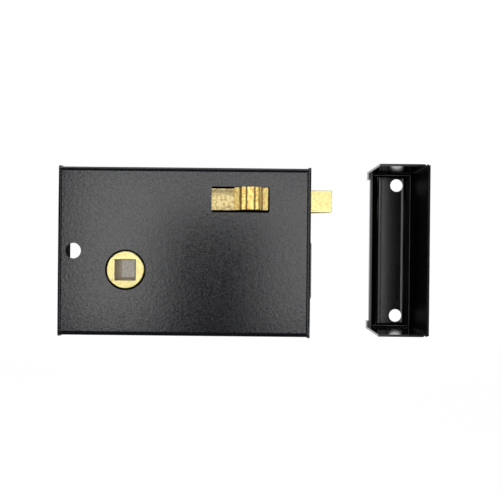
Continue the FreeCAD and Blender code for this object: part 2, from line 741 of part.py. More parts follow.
def make_spring_spigot():
    """The flanged pin in the left wall that carries the spring."""
    body = new_body("spring_spigot")
    profile = new_sketch(body, "spring_spigot_profile", "XZ_Plane")
    flange = size["spigot_flange_diameter"] / 2
    pin = size["spigot_diameter"] / 2
    bevel = size["boss_bevel"]
    length = size["spigot_flange"] + size["spigot_length"]
    outline(profile, [(zero, zero), (flange, zero), (flange, size["spigot_flange"]),
                      (pin, size["spigot_flange"]), (pin, length - bevel),
                      (pin - bevel, length), (zero, length)])
    revolve(body, profile)
    turned_to(body, depth_axis, 90)
    return place(body, inner_left, -spring_depth, bolt_line)


def make_bolt_guide():
    """The bridge of strip that carries the bolt behind the forend, welded by its feet."""
    body = new_body("bolt_guide")
    strip = size["guide_strip"]
    low = bolt_line - size["bolt_height"] / 2 - size["bolt_slack"]
    high = tail_middle + size["bolt_height"] / 2 + size["bolt_slack"]
    crown = nose_back - size["bolt_slack"]
    foot = size["guide_foot"]
    start = inner_right - size["guide_inset"] - size["guide_width"]
    section = new_sketch(body, "bolt_guide_section", "YZ_Plane", start)
    inside, outside = -crown, -(crown - strip)
    floor, over = -inner_depth, -(inner_depth - strip)
    outline(section, [(floor, low - strip - foot), (floor, low), (inside, low), (inside, high),
                      (floor, high), (floor, high + strip + foot), (over, high + strip + foot),
                      (over, high + strip), (outside, high + strip), (outside, low - strip),
                      (over, low - strip), (over, low - strip - foot)])
    pad(body, section, size["guide_width"])
    bends = edges_where(body, lambda edge: lies_along(edge, along_axis)
                        and near(edge.CenterOfMass.y, outside.number))
    dress(body, "Fillet", "bolt_guide_bends", bends, size["guide_bend"])
    return body


def biarc(start, start_way, end, end_way):
    """Two arcs that leave start along start_way and reach end along end_way."""
    chord = end - start
    ways = start_way + end_way
    spread = 1 - start_way.dot(end_way)
    lean = chord.dot(ways)
    reach = (-lean + math.sqrt(lean * lean + 2 * spread * chord.dot(chord))) / (2 * spread)
    first_turn = start + start_way * reach
    last_turn = end - end_way * reach
    join = (first_turn + last_turn) * 0.5
    arcs = []
    for near_end, turn, far_end in ((start, first_turn, join), (join, last_turn, end)):
        middle = (near_end + far_end) * 0.5
        half = (near_end - middle).Length
        height = (turn - middle).Length
        sag = half * math.tan(math.atan2(height, half) / 2)
        crest = middle + (turn - middle) * (sag / height)
        arcs.append(Part.Arc(near_end, crest, far_end).toShape())
    return arcs


def make_spring():
    """The compression spring: one wire wound on a steady rise between its seats."""
    radius = (size["spring_diameter"].number - size["wire"].number) / 2
    wire = size["wire"].number
    turns = size["spring_turns"].number
    seat = (inner_left + size["spigot_flange"]).number + size["spring_touch"].number + wire / 2
    end = head_left.number - size["spring_touch"].number - wire / 2
    rise = (end - seat) / turns
    centre = FreeCAD.Vector(0, -spring_depth.number, bolt_line.number)

    def point(turn):
        angle = 2 * math.pi * turn
        return centre + FreeCAD.Vector(seat + rise * turn, radius * math.cos(angle), radius * math.sin(angle))

    def way(turn):
        angle = 2 * math.pi * turn
        swing = 2 * math.pi * radius
        return FreeCAD.Vector(rise, -swing * math.sin(angle), swing * math.cos(angle)).normalize()

    quarters = int(round(turns * quarters_in_turn))
    edges = []
    for quarter in range(quarters):
        near_turn = turns * quarter / quarters
        far_turn = turns * (quarter + 1) / quarters
        edges += biarc(point(near_turn), way(near_turn), point(far_turn), way(far_turn))
    path = Part.Wire(edges)
    # The wire's section has flat sides, one of them towards the seat, and the area
    # of the round wire.
    side = 2 * math.pi / wire_sides
    corner = wire / 2 * math.sqrt(side / math.sin(side))
    across = way(0).cross(depth_axis).normalize()
    inward = way(0).cross(across)
    corners = [point(0) + across * (corner * math.cos(side * (number + 0.5)))
               + inward * (corner * math.sin(side * (number + 0.5))) for number in range(wire_sides)]
    ring = Part.makePolygon(corners + corners[:1])
    tube = path.makePipeShell([ring], True, False)
    section = math.pi * wire * wire / 4
    print(f"spring: volume {tube.Volume:.3f}, section times length {section * path.Length:.3f}")
    samples = [point(turns * step / gap_steps) for step in range(gap_steps + 1)]
    apart = int(gap_steps / turns / 2)
    gap = min((samples[first] - samples[second]).Length
              for first in range(gap_steps + 1) for second in range(first + apart, gap_steps + 1)) - wire
    print(f"spring: least gap to itself {gap:.2f} mm")
    node = doc.addObject("Part::Feature", "bolt_spring")
    node.Label = "bolt_spring"
    node.Shape = tube
    return node


def make_keep():
    """The keep: a folded box, open towards the viewer, with a raised panel in its floor."""
    body = new_body("keep")
    width, height = size["keep_width"], size["keep_height"]
    wall, depth = size["keep_sheet"], size["keep_depth"]
    low = -height / 2
    high = height / 2
    inner_left_side, inner_right_side = wall * 2, width - wall
    inner_low_side, inner_high_side = low + wall, high - wall
    block = new_sketch(body, "keep_block", "XZ_Plane")
    rectangle(block, wall, width, low, high)
    pad(body, block, depth)
    outer = edges_where(body, lambda edge: near(edge.CenterOfMass.y, 0))
    dress(body, "Fillet", "keep_outer_bends", outer, size["keep_bend"])
    hollow = new_sketch(body, "keep_hollow", "XZ_Plane", depth)
    rectangle(hollow, inner_left_side, inner_right_side, inner_low_side, inner_high_side)
    pocket(body, hollow, depth - wall)
    inner = edges_where(body, lambda edge: near(edge.CenterOfMass.y, -wall.number))
    dress(body, "Fillet", "keep_inner_bends", inner, size["keep_bend"] - wall)
    # The left side stands only as high as the lip.
    side = new_sketch(body, "keep_left_side", "XZ_Plane", depth)
    rectangle(side, zero, inner_left_side, inner_low_side, inner_high_side)
    pocket(body, side, depth - size["keep_lip"])
    # The ends reach over the lip, and each has a tab turned along its outside.
    ends = new_sketch(body, "keep_ends", "XZ_Plane")
    rectangle(ends, zero, wall, inner_high_side, high)
    rectangle(ends, zero, wall, low, inner_low_side)
    pad(body, ends, depth)
    tabs = new_sketch(body, "keep_tabs", "XZ_Plane")
    tab = size["keep_tab"]
    rectangle(tabs, zero, wall, high - tab, high)
    rectangle(tabs, zero, wall, low, low + tab)
    pad(body, tabs, size["keep_tab_reach"])
    # Open seams between the ends and the right side, which is a little shorter.
    seams = new_sketch(body, "keep_seams", "XZ_Plane", depth)
    seam_left = inner_right_side - size["keep_seam"]
    rectangle(seams, seam_left, inner_right_side, inner_high_side, high + wall)
    rectangle(seams, seam_left, inner_right_side, low - wall, inner_low_side)
    drop = size["keep_side_drop"]
    rectangle(seams, inner_right_side + drop / 2, width + drop, high - drop, high + wall)
    rectangle(seams, inner_right_side + drop / 2, width + drop, low - wall, low + drop)
    pocket(body, seams, depth - size["keep_seam_foot"])
    # The raised panel, pressed up from behind, so the sheet keeps its thickness.
    left, right = size["panel_left"], width - size["panel_right"]
    foot, head = low + size["panel_end"], high - size["panel_end"]
    ramp, slope, raised = size["panel_ramp"], size["panel_slope"], size["panel_raise"]
    for kind, level, inset in (("Additive", wall, zero), ("Subtractive", zero, size["panel_shift"])):
        sections = []
        for step, lift, run, draw in (("foot", zero, zero, zero), ("top", raised, ramp, slope)):
            section = new_sketch(body, f"keep_panel_{kind.lower()}_{step}", "XZ_Plane", level + lift)
            rectangle(section, left + inset + run, right - inset - draw,
                      foot + inset + draw, head - inset - draw)
            sections.append(section)
        loft = body.newObject(f"PartDesign::{kind}Loft", f"keep_panel_{kind.lower()}")
        loft.Profile = sections[0]
        loft.Sections = sections[1:]
        loft.Ruled = True
        doc.recompute()
    top = -(wall + raised).number
    floor = -wall.number
    corners = edges_where(body, lambda edge: near(edge.BoundBox.YMin, top)
                          and near(edge.BoundBox.YMax, floor) and edge.BoundBox.XLength > 0.1)
    dress(body, "Fillet", "keep_panel_corners", corners, size["panel_corner"])
    rims = edges_where(body, lambda edge: near(edge.CenterOfMass.y, top)
                       and edge.BoundBox.YLength < 1e-3)
    dress(body, "Chamfer", "keep_panel_rim", rims, size["panel_bevel"])
    holes = new_sketch(body, "keep_holes", "XZ_Plane", wall + raised)
    for turn in (-1, 1):
        circle(holes, size["keep_hole"], size["keep_hole_along"], size["keep_hole_spacing"] * (turn / 2))
    pocket(body, holes, wall * through)
    return place(body, size["keep_along"], size["keep_back"], case_middle + size["keep_rise"])


nodes = [make_case(), make_forend_plate(), make_forend_rivets(), make_cap()]
for post_name, (post_along, post_rise) in post_places.items():
    nodes.append(make_post(post_name, post_along, post_rise))
nodes += [make_cap_screws(), make_guide_post(), make_guide_washer(), make_stop_post(),
          make_bolt_guide(), make_bolt(), make_thumb_slide(), make_thumb_rivets(),
          make_follower(), make_spring_spigot(), make_spring(), make_keep()]
doc.recompute()

for item in doc.Objects:
    if "Invalid" in item.State or "Error" in item.State:
        raise RuntimeError(f"{item.Name} failed: {item.State}")
for node in nodes:
    if node.Shape.isNull() or not node.Shape.isValid():
        raise RuntimeError(f"{node.Label} has no valid shape")
os.makedirs("parts", exist_ok=True)
for node in nodes:
    node.Shape.exportStep(f"parts/{node.Label}.step")
    box = node.Shape.BoundBox
    print(f"{node.Label}: solids {len(node.Shape.Solids)}, volume {node.Shape.Volume:.1f}, "
          f"X {box.XMin:.2f} {box.XMax:.2f}, Y {box.YMin:.2f} {box.YMax:.2f}, "
          f"Z {box.ZMin:.2f} {box.ZMax:.2f}")
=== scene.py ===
"""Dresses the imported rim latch: finishes, finer castings and fixings, stage, lamps and camera."""

import logging
import math
from collections.abc import Callable, Iterator
from contextlib import contextmanager
from dataclasses import dataclass
from enum import Enum

import bmesh
import bpy
from mathutils import Euler, Matrix, Vector


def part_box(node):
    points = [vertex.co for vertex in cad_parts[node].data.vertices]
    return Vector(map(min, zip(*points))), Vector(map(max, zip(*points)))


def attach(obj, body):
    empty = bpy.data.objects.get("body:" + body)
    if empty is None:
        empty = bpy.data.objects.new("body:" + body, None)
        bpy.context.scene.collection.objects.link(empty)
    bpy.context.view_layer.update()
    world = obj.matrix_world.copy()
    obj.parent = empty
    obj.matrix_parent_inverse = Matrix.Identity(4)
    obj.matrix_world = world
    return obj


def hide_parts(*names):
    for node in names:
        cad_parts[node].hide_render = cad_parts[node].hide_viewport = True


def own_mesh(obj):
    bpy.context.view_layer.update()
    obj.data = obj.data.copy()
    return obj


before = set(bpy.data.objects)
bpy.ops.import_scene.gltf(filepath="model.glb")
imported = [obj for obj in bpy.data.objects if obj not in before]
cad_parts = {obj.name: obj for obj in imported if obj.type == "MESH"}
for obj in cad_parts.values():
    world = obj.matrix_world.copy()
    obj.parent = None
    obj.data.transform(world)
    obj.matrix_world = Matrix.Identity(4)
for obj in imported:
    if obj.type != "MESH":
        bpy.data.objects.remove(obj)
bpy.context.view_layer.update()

MM = 0.001
WHITE = (1.0, 1.0, 1.0, 1.0)
BLACK = (0.0, 0.0, 0.0, 1.0)
LOG = logging.getLogger("rim_latch")

Colour = tuple[float, float, float]
Point = tuple[float, float, float]
Pair = tuple[float, float]


class Body(Enum):
    """The bodies that a piece can ride on."""

    CASE = "case_body"
    BOLT = "bolt_body"
    FOLLOWER = "follower_body"


class Slot(Enum):
    """The record's material slots for new pieces, which the script stores but does not use."""

    PAINT = "black_paint"
    SPRING = "spring_steel"
    CAST_BRASS = "cast_brass"
    BRASS_WIRE = "brass_wire"


def linear(red: int, green: int, blue: int) -> Colour:
    """Turns a display colour of 0 to 255 a channel into linear light.

    Args:
        red: the red channel as it is shown.
        green: the green channel.
        blue: the blue channel.

    Returns:
        The three linear channels.
    """

    def channel(value: int) -> float:
        """Linearises one channel."""
        share = value / 255
        return share / 12.92 if share <= 0.04045 else ((share + 0.055) / 1.055) ** 2.4

    return channel(red), channel(green), channel(blue)


class Tree:
    """A short way to write a node tree: each call adds a node and feeds its inputs."""

    def __init__(self, tree: bpy.types.NodeTree) -> None:
        """Takes the tree to write in."""
        self.tree = tree

    def feed(self, node: bpy.types.Node, feeds: dict) -> None:
        """Feeds a node's inputs.

        Args:
            node: the node.
            feeds: values or output sockets by input name or number.
        """
        for name, value in feeds.items():
            if isinstance(value, bpy.types.NodeSocket):
                self.tree.links.new(value, node.inputs[name])
            else:
                node.inputs[name].default_value = value

    def add(self, kind: str, feeds: dict | None = None, **settings: object) -> bpy.types.Node:
        """Adds a node.

        Args:
            kind: the node's type name.
            feeds: values or output sockets by input name or number.
            settings: the node's own properties.

        Returns:
            The new node.
        """
        node = self.tree.nodes.new(kind)
        for name, value in settings.items():
            setattr(node, name, value)
        self.feed(node, feeds or {})
        return node

    def maths(self, operation: str, first: object, second: object = 0.0,
              clamp: bool = False) -> bpy.types.NodeSocket:
        """Returns the outcome of a Math node on two values or sockets."""
        feeds = {0: first, 1: second}
        return self.add("ShaderNodeMath", feeds, operation=operation, use_clamp=clamp).outputs[0]

    def plus(self, base: object, value: object, share: float) -> bpy.types.NodeSocket:
        """Returns base with a share of value added."""
        return self.maths("ADD", base, self.maths("MULTIPLY", value, share))

    def blend(self, share: object, first: object, second: object) -> bpy.types.NodeSocket:
        """Blends two colours.

        Args:
            share: how much of the second colour there is.
            first: a colour or its socket.
            second: the other one.

        Returns:
            The blended colour's socket.
        """
        node = self.add("ShaderNodeMix", {0: share}, data_type="RGBA")
        for number, colour in ((6, first), (7, second)):
            linked = isinstance(colour, bpy.types.NodeSocket)
            self.feed(node, {number: colour if linked else (*colour, 1.0)})
        return node.outputs[2]

    def spread(self, value: object, low: float, high: float) -> bpy.types.NodeSocket:
        """Returns value stretched so that low gives 0 and high gives 1, smoothly and clamped."""
        feeds = {0: value, 1: low, 2: high}
        return self.add("ShaderNodeMapRange", feeds, interpolation_type="SMOOTHSTEP").outputs[0]

    def noise(self, place: object, size: float, detail: float = 3.0,
              rough: float = 0.55) -> bpy.types.NodeSocket:
        """Returns noise whose patches are about size metres across."""
        feeds = {"Vector": place, "Scale": 1.0 / size, "Detail": detail, "Roughness": rough}
        return self.add("ShaderNodeTexNoise", feeds).outputs[0]

    def bump(self, height: object, depth: float) -> bpy.types.NodeSocket:
        """Returns the normals of a surface that is depth metres uneven."""
        feeds = {"Height": height, "Distance": depth, "Strength": 1.0}
        return self.add("ShaderNodeBump", feeds).outputs[0]


def new_material(name: str) -> tuple[bpy.types.Material, Tree, bpy.types.Node]:
    """Makes a node material with nothing but its shader and output.

    Args:
        name: the material's name.

    Returns:
        The material, its tree and its Principled shader.
    """
    material = bpy.data.materials.new(name)
    material.use_nodes = True
    material.node_tree.nodes.clear()
    tree = Tree(material.node_tree)
    shader = tree.add("ShaderNodeBsdfPrincipled")
    tree.add("ShaderNodeOutputMaterial", {"Surface": shader.outputs[0]})
    return material, tree, shader


def object_place(tree: Tree, stretch: Point = (1.0, 1.0, 1.0)) -> bpy.types.NodeSocket:
    """Returns the object's own coordinates, stretched along its axes."""
    place = tree.add("ShaderNodeTexCoord").outputs["Object"]
    return tree.add("ShaderNodeMapping", {"Vector": place, "Scale": stretch}).outputs[0]


@dataclass(frozen=True)
class Enamel:
    """Black enamel sprayed on sheet steel, with a little orange peel and dust."""

    name: str
    colour: Colour
    roughness: float
    grain_size: float = 0.45 * MM
    grain_range: Pair = (0.32, 0.68)
    cloud_size: float = 14 * MM
    cloud_share: float = 0.25
    peel_size: float = 1.3 * MM
    peel_depth: float = 0.012 * MM
    uneven: float = 0.08
    specular: float = 0.5
    lift: float = 1.6
    dusty: Colour = (0.004, 0.004, 0.004)

    def material(self) -> bpy.types.Material:
        """Builds the finish.

        Returns:
            The node material.
        """
        material, tree, shader = new_material(self.name)
        place = object_place(tree)
        grain = tree.spread(tree.noise(place, self.grain_size, detail=2.0, rough=0.5), *self.grain_range)
        cloud = tree.noise(place, self.cloud_size, detail=2.0)
        patch = tree.plus(tree.maths("MULTIPLY", grain, 1.0 - self.cloud_share), cloud, self.cloud_share)
        lighter = tuple(channel * self.lift + dust for channel, dust in zip(self.colour, self.dusty))
        peel = tree.noise(place, self.peel_size, rough=0.5)
        tree.feed(shader, {
            "Base Color": tree.blend(patch, self.colour, lighter),
            "Roughness": tree.plus(self.roughness - self.uneven / 2, patch, self.uneven),
            "Specular IOR Level": self.specular,
            "Normal": tree.bump(peel, self.peel_depth),
        })
        return material


@dataclass(frozen=True)
class CastBrass:
    """Yellow brass as it comes from the sand, rubbed bright, with stains, pits and dull grooves."""

    name: str
    bright: Colour
    stain: Colour
    roughness: float
    stain_from: float
    stain_to: float
    stain_size: float = 2.2 * MM
    fine_part: float = 5.0
    fine_share: float = 0.3
    pit_depth: float = 0.03 * MM
    stain_dulls: float = 0.08
    groove: Colour | None = None
    groove_range: Pair = (0.25, 0.6)
    groove_stains: float = 2.0
    groove_film: float = 0.85

    def material(self) -> bpy.types.Material:
        """Builds the finish, whose grooves are where the mesh's groove attribute is high.

        Returns:
            The node material.
        """
        material, tree, shader = new_material(self.name)
        place = object_place(tree)
        broad = tree.noise(place, self.stain_size, detail=5.0, rough=0.62)
        fine = tree.noise(place, self.stain_size / self.fine_part, rough=0.6)
        mixed = tree.plus(tree.maths("MULTIPLY", broad, 1.0 - self.fine_share), fine, self.fine_share)
        stained = tree.spread(mixed, self.stain_from, self.stain_to)
        colour = tree.blend(stained, self.bright, self.stain)
        metal = 1.0
        if self.groove:
            depth = tree.add("ShaderNodeAttribute", attribute_name="groove").outputs["Fac"]
            sunk = tree.maths("MULTIPLY", depth, tree.spread(fine, *self.groove_range), clamp=True)
            colour = tree.blend(sunk, colour, self.groove)
            stained = tree.plus(stained, depth, self.groove_stains)
            metal = tree.maths("SUBTRACT", 1.0, tree.maths("MULTIPLY", sunk, self.groove_film))
        tree.feed(shader, {
            "Base Color": colour,
            "Metallic": metal,
            "Roughness": tree.plus(self.roughness, stained, self.stain_dulls),
            "Normal": tree.bump(mixed, self.pit_depth),
        })
        return material


@dataclass(frozen=True)
class BareSteel:
    """Zinc-plated or drawn steel, with fine lines along one axis and a soft bloom."""

    name: str
    colour: Colour
    roughness: float
    stretch: Point = (1.0, 1.0, 1.0)
    line_size: float = 0.8 * MM
    line_depth: float = 0.008 * MM
    line_dulls: float = 0.2
    bloom_size: float = 5 * MM
    bloom_range: Pair = (0.35, 0.7)
    bloom_shade: float = 0.92

    def material(self) -> bpy.types.Material:
        """Builds the finish.

        Returns:
            The node material.
        """
        material, tree, shader = new_material(self.name)
        lines = tree.noise(object_place(tree, self.stretch), self.line_size, detail=4.0)
        bloom = tree.noise(object_place(tree), self.bloom_size, detail=6.0, rough=0.65)
        darker = tuple(channel * self.bloom_shade for channel in self.colour)
        tree.feed(shader, {
            "Base Color": tree.blend(tree.spread(bloom, *self.bloom_range), self.colour, darker),
            "Metallic": 1.0,
            "Roughness": tree.plus(self.roughness, lines, self.line_dulls),
            "Normal": tree.bump(lines, self.line_depth),
        })
        return material


SATIN_BLACK = Enamel("satin_black_enamel", (0.0035, 0.0041, 0.0095), 0.19, peel_depth=0.04 * MM,
                     uneven=0.13, specular=0.76, dusty=(0.0225, 0.0235, 0.028))
# Barely reflective near-black that stands in for the shade inside the case.
INSIDE_SHADE_BLACK = Enamel("inside_shade_black", (0.004, 0.004, 0.0045), 0.8, specular=0.03)
# Darker near-black that hardly reflects: painted shade for the inside of the keep's far wall.
WALL_SHADE_BLACK = Enamel("wall_shade_black", (0.001, 0.001, 0.0013), 0.5, specular=0.01,
                    dusty=(0.001, 0.001, 0.001))
GLOSS_BLACK = Enamel("gloss_black_enamel", (0.003, 0.0032, 0.005), 0.15, specular=0.62)
RUBBED_BRASS = CastBrass("rubbed_brass", linear(255, 245, 172), linear(250, 204, 110), 0.31,
                         0.47, 0.72, stain_size=1.1 * MM, stain_dulls=0.04)
# Near-black brass that paints the shade on faces in gaps and out of view.
SHADE_BRASS = CastBrass("painted_shade_brass", linear(52, 40, 26), linear(20, 15, 10), 0.6, 0.4, 0.6)
ROUGH_BRASS = CastBrass("rough_brass", linear(255, 238, 176), linear(196, 136, 60), 0.33,
                        0.45, 0.66, stain_size=1.0 * MM, pit_depth=0.06 * MM)
RIBBED_BRASS = CastBrass("ribbed_brass", linear(255, 238, 152), linear(240, 176, 74), 0.28,
                         0.44, 0.65, stain_size=1.1 * MM, groove=linear(218, 172, 110))
SOCKET_BRASS = CastBrass("socket_brass", linear(255, 250, 236), linear(214, 194, 170), 0.45,
                         0.45, 0.62, stain_size=1.2 * MM)
BRASS_WIRE = CastBrass("brass_wire", linear(226, 196, 120), linear(170, 120, 60), 0.3, 0.5, 0.8)
ZINC = BareSteel("zinc_plate", linear(172, 171, 167), 0.28, (0.08, 1.0, 1.0))
# Dark steel that paints the shade on the cap's inner face.
CAP_SHADE_STEEL = BareSteel("cap_shade_steel", linear(44, 41, 37), 0.55, (1.0, 1.0, 3.0))
DRAWN_STEEL = BareSteel("drawn_steel", linear(150, 148, 146), 0.3, (6.0, 1.0, 1.0))


def new_object(name: str, data: bpy.types.ID) -> bpy.types.Object:
    """Makes an object of a mesh, a lamp or a camera and links it to the scene.

    Args:
        name: the object's name.
        data: what it shows.

    Returns:
        The object.
    """
    made = bpy.data.objects.new(name, data)
    bpy.context.scene.collection.objects.link(made)
    return made


@contextmanager
def edited(mesh: bpy.types.Mesh) -> Iterator[bmesh.types.BMesh]:
    """Opens a mesh for editing and writes it back at the end.

    Args:
        mesh: the mesh.

    Yields:
        The mesh in a form that can be edited.
    """
    work = bmesh.new()
    work.from_mesh(mesh)
    yield work
    work.to_mesh(mesh)
    work.free()


def smooth_by_angle(mesh: bpy.types.Mesh, degrees: float = 35.0) -> None:
    """Shades a mesh smooth, but for edges sharper than an angle."""
    mesh.shade_smooth()
    mesh.set_sharp_from_angle(angle=math.radians(degrees))


def plain_mesh(name: str, source: bpy.types.Object) -> bpy.types.Object:
    """Turns an object with its modifiers into a plain mesh object and drops the source.

    Args:
        name: the new object's name.
        source: the object whose evaluated mesh is kept.

    Returns:
        The plain object, linked to the scene.
    """
    bpy.context.view_layer.update()
    graph = bpy.context.evaluated_depsgraph_get()
    mesh = bpy.data.meshes.new_from_object(source.evaluated_get(graph))
    source.modifiers.clear()
    bpy.data.objects.remove(source)
    mesh.name = name
    return new_object(name, mesh)


def round_edges(name: str, piece: bpy.types.Object, width: float, degrees: float,
                segments: int = 3) -> bpy.types.Object:
    """Rounds a piece's sharp edges.

    Args:
        name: the name of the outcome.
        piece: the piece, which is used up.
        width: how far each edge is rounded, in metres.
        degrees: the angle from which an edge is sharp.
        segments: the number of faces across a rounded edge.

    Returns:
        The rounded piece, as a plain mesh object.
    """
    bevel = piece.modifiers.new("rounding", "BEVEL")
    bevel.width = width
    bevel.segments = segments
    bevel.limit_method = "ANGLE"
    bevel.angle_limit = math.radians(degrees)
    bevel.use_clamp_overlap = True
    return plain_mesh(name, piece)


def even_normals(name: str, piece: bpy.types.Object, degrees: float = 35.0) -> bpy.types.Object:
    """Shades a piece so that its wide faces stay flat and only the rounded edges turn.

    Args:
        name: the name of the outcome.
        piece: the piece, which is used up.
        degrees: the angle from which an edge stays sharp.

    Returns:
        The plain piece.
    """
    wide_faces_win = 100
    smooth_by_angle(piece.data, degrees)
    even = piece.modifiers.new("even", "WEIGHTED_NORMAL")
    even.keep_sharp = True
    even.weight = wide_faces_win
    return plain_mesh(name, piece)


def softened_copy(name: str, node: str, width: float,
                  shape: Callable[[bmesh.types.BMesh], None] | None = None) -> bpy.types.Object:
    """Copies a CAD node's mesh, welds it and rounds its sharp edges.

    Args:
        name: the new piece's name.
        node: the CAD node.
        width: how far each edge is rounded, in metres.
        shape: what presses finer forms into the rounded mesh, if anything does.

    Returns:
        The copy as a plain mesh object.
    """
    weld, flat, sharp = 0.001 * MM, math.radians(1.0), 32
    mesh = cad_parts[node].data.copy()
    with edited(mesh) as work:
        bmesh.ops.remove_doubles(work, verts=work.verts, dist=weld)
        bmesh.ops.dissolve_limit(work, angle_limit=flat, verts=work.verts, edges=work.edges)
        bmesh.ops.recalc_face_normals(work, faces=work.faces)
    rounded = round_edges(name + "_rounded", new_object(name + "_work", mesh), width, sharp)
    if shape is not None:
        with edited(rounded.data) as work:
            shape(work)
    return even_normals(name, rounded)


def dress_node(node: str, finish: bpy.types.Material, inside: bpy.types.Material | None = None,
               middle: Vector | None = None) -> None:
    """Gives a CAD node that stays in view its finish.

    Args:
        node: the node's name.
        finish: the finish of its faces.
        inside: the finish of the faces that look towards the middle, if it differs.
        middle: the point that such faces look towards.
    """
    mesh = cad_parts[node].data
    mesh.materials.clear()
    mesh.materials.append(finish)
    if inside is not None:
        mesh.materials.append(inside)
        for face in mesh.polygons:
            face.material_index = 1 if face.normal.dot(middle - face.center) > 0 else 0
    LOG.info("%s: dressed in %s", node, finish.name)


def finish_piece(piece: bpy.types.Object, finishes: tuple[bpy.types.Material, ...],
                 body: Body, node: str) -> None:
    """Gives a piece its finishes and body, and hides the node that it stands for.

    Args:
        piece: the finished mesh object, at the origin.
        finishes: its materials in order, or none where the piece has them already.
        body: the body that it moves with.
        node: the CAD node that it stands for.
    """
    if finishes:
        piece.data.materials.clear()
    for finish in finishes:
        piece.data.materials.append(finish)
    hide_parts(node)
    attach(piece, body.value)
    LOG.info("%s: %d faces, rides on %s, stands for %s", piece.name, len(piece.data.polygons),
             body.value, node)


@dataclass
class PaintedShell:
    """The sheet-metal pieces of the case in black enamel, with the inner faces in a dull black that
    paints the shade inside.
    """

    def build(self) -> None:
        """Dresses the nodes."""
        satin = SATIN_BLACK.material()
        low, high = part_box("case")
        middle = Vector(((low.x + high.x) / 2, low.y / 2, (low.z + high.z) / 2))
        # The case's inner faces get painted shade.
        dress_node("case", satin, INSIDE_SHADE_BLACK.material(), middle)
        dress_node("forend_plate", satin)


@dataclass(frozen=True)
class Bead:
    """A low roll along the keep's panel: its middle from the keep's left, height and half width."""

    middle: float
    height: float
    width: float

    def rise(self, along: float) -> float:
        """Returns how far the roll stands up at a distance along."""
        return self.height * math.exp(-((along - self.middle) / self.width) ** 2)


@dataclass
class KeepPressing:
    """The keep with rounded folds and a bowed, beaded panel; the inside of its far wall takes a
    near-black that hardly reflects, as painted shade.
    """

    rounding: float = 0.32 * MM
    sheet: float = 1.0 * MM
    panel_raise: float = 2.2 * MM
    crests: Pair = (5.9 * MM, 17.54 * MM)
    bow_middle: float = 6.5 * MM
    bow_radius: float = 220 * MM
    beads: tuple[Bead, ...] = (Bead(5.95 * MM, 0.02 * MM, 0.5 * MM),
                               Bead(17.2 * MM, 0.11 * MM, 0.55 * MM))
    ramp_top: float = 0.36 * MM
    ramp_lift: float = 0.31 * MM
    bead_reach: float = 1.4 * MM
    fine_step: float = 0.14 * MM
    wide_step: float = 0.8 * MM
    near: float = 0.02 * MM
    weld: float = 0.001 * MM
    level_from: float = 0.99
    wall_from: float = 0.8
    wall_reach: float = 3 * MM

    def rise(self, along: float) -> float:
        """Returns how far the panel stands up at a distance along from the keep's left side."""
        bow = -(along - self.bow_middle) ** 2 / (2 * self.bow_radius)
        return bow + sum(bead.rise(along) for bead in self.beads)

    def press(self, work: bmesh.types.BMesh) -> None:
        """Bows the panel's top, rolls a low bead along its long edges and flattens the ramp's top.

        Args:
            work: the keep's rounded mesh.
        """
        low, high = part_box("keep")
        level = high.y - self.sheet - self.panel_raise
        start, end = self.crests

        def on_top(vertex: bmesh.types.BMVert) -> bool:
            """Tells whether a corner lies in the panel's top."""
            along = vertex.co.x - low.x
            return abs(vertex.co.y - level) < self.near and start - self.near < along < end + self.near

        along = start + self.fine_step
        while along < end:
            faces = [face for face in work.faces
                     if face.normal.y < -self.level_from and all(map(on_top, face.verts))]
            edges = {edge for face in faces for edge in face.edges}
            corners = {vertex for face in faces for vertex in face.verts}
            bmesh.ops.bisect_plane(work, geom=[*corners, *edges, *faces], dist=self.weld,
                                   plane_co=(low.x + along, 0, 0), plane_no=(1, 0, 0))
            fine = along - start < self.bead_reach or end - along < self.bead_reach
            along += self.fine_step if fine else self.wide_step
        for vertex in work.verts:
            along = vertex.co.x - low.x
            if on_top(vertex):
                vertex.co.y -= self.rise(along)
            elif abs(vertex.co.y - level - self.ramp_top) < self.near and along < start:
                vertex.co.y -= self.ramp_lift

    def build(self) -> None:
        """Makes the keep from its CAD form."""
        piece = softened_copy("keep_pressing", "keep", self.rounding, shape=self.press)
        finishes = (GLOSS_BLACK.material(), WALL_SHADE_BLACK.material())
        finish_piece(piece, finishes, Body.CASE, "keep")
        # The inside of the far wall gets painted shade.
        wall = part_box("keep")[1].x - self.wall_reach
        for face in piece.data.polygons:
            if face.normal.x < -self.wall_from and face.center.x > wall:
                face.material_index = 1


@dataclass
class BoltCasting:
    """The cast bolt with its edges rubbed round, bright where it is in view and given painted shade
    elsewhere.
    """

    rounding: float = 0.22 * MM
    tail_reach: float = 1 * MM
    nose_reach: float = 3 * MM
    flat_from: float = 0.9

    def build(self) -> None:
        """Makes the bolt from its CAD form."""
        rubbed, rough, painted_shade = range(3)
        piece = softened_copy("bolt_casting", "bolt", self.rounding)
        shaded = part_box("thumb_slide")[0].x + self.tail_reach
        with edited(piece.data) as work:
            bmesh.ops.bisect_plane(work, geom=[*work.verts, *work.edges, *work.faces],
                                   plane_co=(shaded, 0, 0), plane_no=(1, 0, 0))
        finishes = (RUBBED_BRASS.material(), ROUGH_BRASS.material(), SHADE_BRASS.material())
        finish_piece(piece, finishes, Body.BOLT, "bolt")
        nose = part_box("case")[1].x - self.nose_reach
        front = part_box("bolt")[0].y + self.rounding
        for face in piece.data.polygons:
            if face.center.x > nose:
                face.material_index = rubbed if abs(face.normal.y) > self.flat_from else rough
            else:
                # Faces under the case front or right of the thumb piece get painted shade, so the gaps
                # look dark.
                in_view = face.center.y < front and face.center.x < shaded
                face.material_index = rough if in_view else painted_shade


